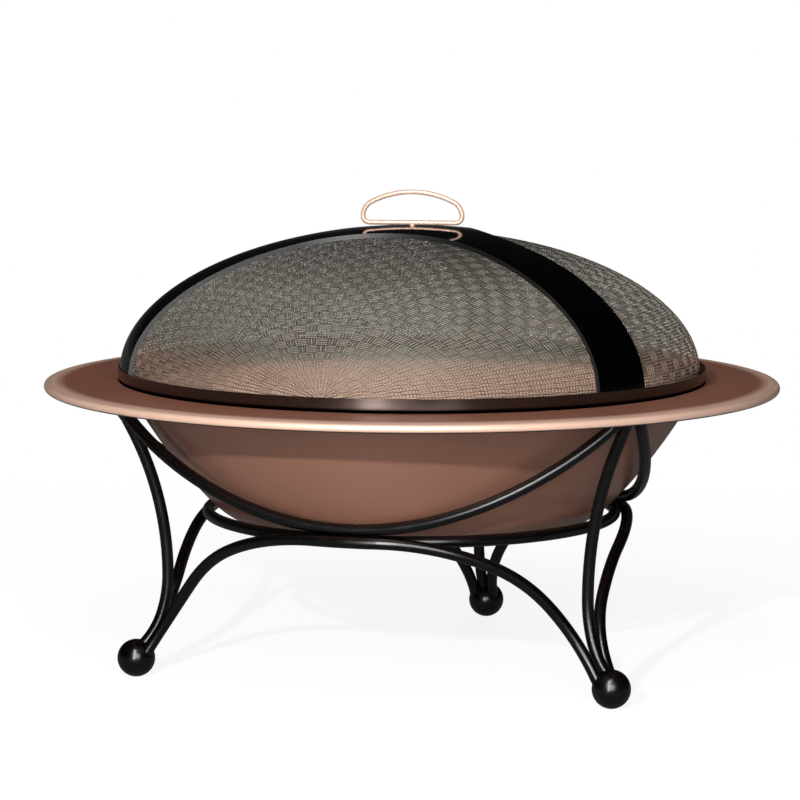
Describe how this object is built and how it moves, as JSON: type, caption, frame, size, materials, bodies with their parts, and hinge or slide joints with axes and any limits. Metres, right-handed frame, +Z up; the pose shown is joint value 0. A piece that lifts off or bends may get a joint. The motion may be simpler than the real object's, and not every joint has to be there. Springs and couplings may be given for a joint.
{
  "type": "fire pit",
  "caption": "Copper bowl fire pit with a wide rolled flange, on a bent-rod stand with ball feet, with a log grate inside and a domed mesh spark screen with a lifting handle.",
  "frame": {"origin": "on the ground, under the axis of the bowl", "axes": "+Z up, -Y towards the middle of the stand's front panel, between the two front legs"},
  "size_m": [1.016, 1.016, 0.6662],
  "materials": {
    "bowl_copper": "satin, slightly aged copper",
    "handle_copper": "polished copper wire",
    "stand_black": "gloss black enamel",
    "strap_black": "high gloss black enamel",
    "band_bronze": "gloss dark bronze",
    "screen_mesh": "woven steel wire",
    "grate_steel": "matt black high-temperature paint",
    "plain_steel": "zinc plated"
  },
  "bodies": {
    "stand": {"hoop": "stand_black", "ball_foot_back": "stand_black", "ball_foot_front_left": "stand_black", "ball_foot_front_right": "stand_black", "leg_rod_back": "stand_black", "leg_rod_front_left": "stand_black", "leg_rod_front_right": "stand_black", "cradle_rod_front": "stand_black", "cradle_rod_right": "stand_black", "cradle_rod_left": "stand_black", "arch_rod_front": "stand_black", "arch_rod_right": "stand_black", "arch_rod_left": "stand_black"},
    "bowl": {"bowl": "bowl_copper", "rim_wire": "plain_steel"},
    "log_grate": {"grate_ring": "grate_steel", "grate_cross_bar": "grate_steel", "grate_bar_1": "grate_steel", "grate_bar_2": "grate_steel", "grate_bar_3": "grate_steel", "grate_bar_4": "grate_steel", "grate_bar_5": "grate_steel", "grate_bar_6": "grate_steel", "grate_bar_7": "grate_steel", "grate_leg_1": "grate_steel", "grate_leg_2": "grate_steel", "grate_leg_3": "grate_steel", "grate_leg_4": "grate_steel"},
    "screen": {"base_band": "band_bronze", "mesh_dome": "screen_mesh", "strap_frame": "strap_black", "hub_spacer": "plain_steel", "hub_washer": "plain_steel", "hub_nut": "plain_steel", "handle": "handle_copper", "handle_stud": "handle_copper"}
  },
  "joints": [
    {"name": "bowl_lift", "type": "slide", "parent": "stand", "child": "bowl", "axis": [0, 0, 1], "range_m": [0, 0.25]},
    {"name": "grate_lift", "type": "slide", "parent": "bowl", "child": "log_grate", "axis": [0, 0, 1], "range_m": [0, 0.26]},
    {"name": "screen_lift", "type": "slide", "parent": "bowl", "child": "screen", "axis": [0, 0, 1], "range_m": [0, 0.3]}
  ]
}
